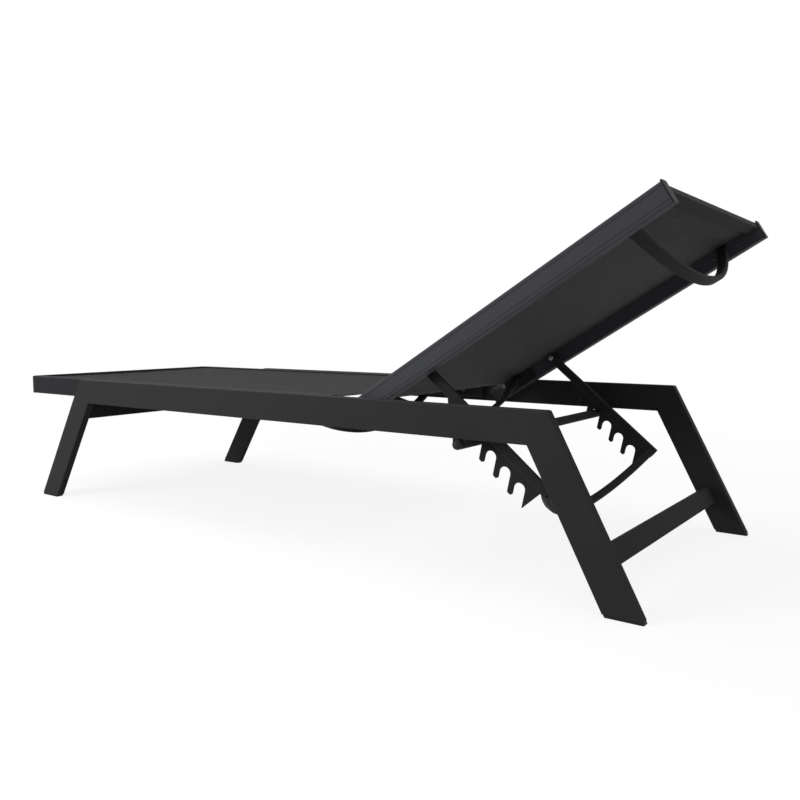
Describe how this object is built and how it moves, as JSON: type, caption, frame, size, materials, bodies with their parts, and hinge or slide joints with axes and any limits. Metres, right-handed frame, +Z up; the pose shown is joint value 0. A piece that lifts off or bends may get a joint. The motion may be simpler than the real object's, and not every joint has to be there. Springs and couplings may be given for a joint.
{
  "type": "sun lounger",
  "caption": "Sun lounger with splayed flat-tube side frames, a stretched sling seat and a hinged sling backrest propped by a toothed support frame on a cross rod.",
  "frame": {"origin": "on the floor, under the middle of the lounger's bounding box", "axes": "+X towards the head end, +Y towards the left side of someone lying on it, +Z up"},
  "size_m": [1.7904, 0.693, 0.6793],
  "materials": {
    "coated_aluminium": "aluminium tube powder coated in fine-textured matt charcoal",
    "coated_steel": "steel tube and plate powder coated in matt charcoal",
    "sling_fabric": "open plain-woven PVC-coated polyester mesh, charcoal",
    "black_plastic": "black moulded polypropylene",
    "grey_plastic": "light grey moulded plastic",
    "nylon": "black nylon",
    "zinc_steel": "zinc-plated steel"
  },
  "bodies": {
    "base": {"foot_cap_front_left": "black_plastic", "foot_cap_front_right": "black_plastic", "foot_cap_rear_left": "black_plastic", "foot_cap_rear_right": "black_plastic", "foot_end_bar": "coated_aluminium", "front_cross_bar": "coated_aluminium", "front_leg_left": "coated_aluminium", "front_leg_right": "coated_aluminium", "hinge_bolts": "zinc_steel", "hinge_nuts": "zinc_steel", "hinge_washers": "nylon", "ratchet_rod": "coated_steel", "rear_leg_left": "coated_aluminium", "rear_leg_right": "coated_aluminium", "rear_stretcher": "coated_aluminium", "rod_end_plugs": "grey_plastic", "rod_saddles": "black_plastic", "seat_bolts": "zinc_steel", "seat_bow": "coated_steel", "seat_nuts": "zinc_steel", "seat_rail_caps": "black_plastic", "seat_rail_left": "coated_aluminium", "seat_rail_right": "coated_aluminium", "seat_sling": "sling_fabric", "seat_spacers": "nylon", "seat_splines": "nylon", "side_rail_left": "coated_aluminium", "side_rail_right": "coated_aluminium"},
    "backrest": {"back_caps_lower": "black_plastic", "back_caps_upper": "black_plastic", "back_rail_left": "coated_aluminium", "back_rail_right": "coated_aluminium", "back_rail_screws": "zinc_steel", "back_sling": "sling_fabric", "back_splines": "nylon", "head_bar": "coated_aluminium", "hinge_bushes": "nylon", "hinge_plate_left": "coated_aluminium", "hinge_plate_right": "coated_aluminium", "lower_bow": "coated_steel", "pivot_bolts": "zinc_steel", "pivot_nuts": "zinc_steel", "pivot_washers": "nylon", "upper_bow": "coated_steel"},
    "support": {"pivot_bushes": "nylon", "ratchet_plate_left": "coated_steel", "ratchet_plate_right": "coated_steel", "support_arm_left": "coated_steel", "support_arm_right": "coated_steel", "support_bow": "coated_steel"}
  },
  "joints": [
    {"name": "backrest_recline", "type": "hinge", "parent": "base", "child": "backrest", "pos_m": [0.28709, 0, 0.30622], "axis": [0, -1, 0], "range_deg": [0, 43.5]},
    {"name": "support_swing", "type": "hinge", "parent": "backrest", "child": "support", "pos_m": [0.42461, 0, 0.3832], "axis": [0, -1, 0], "range_deg": [-10, 0]}
  ],
  "couplings": [
    {"joint": "support_swing", "follows": "backrest_recline", "ratio": -0.22}
  ]
}
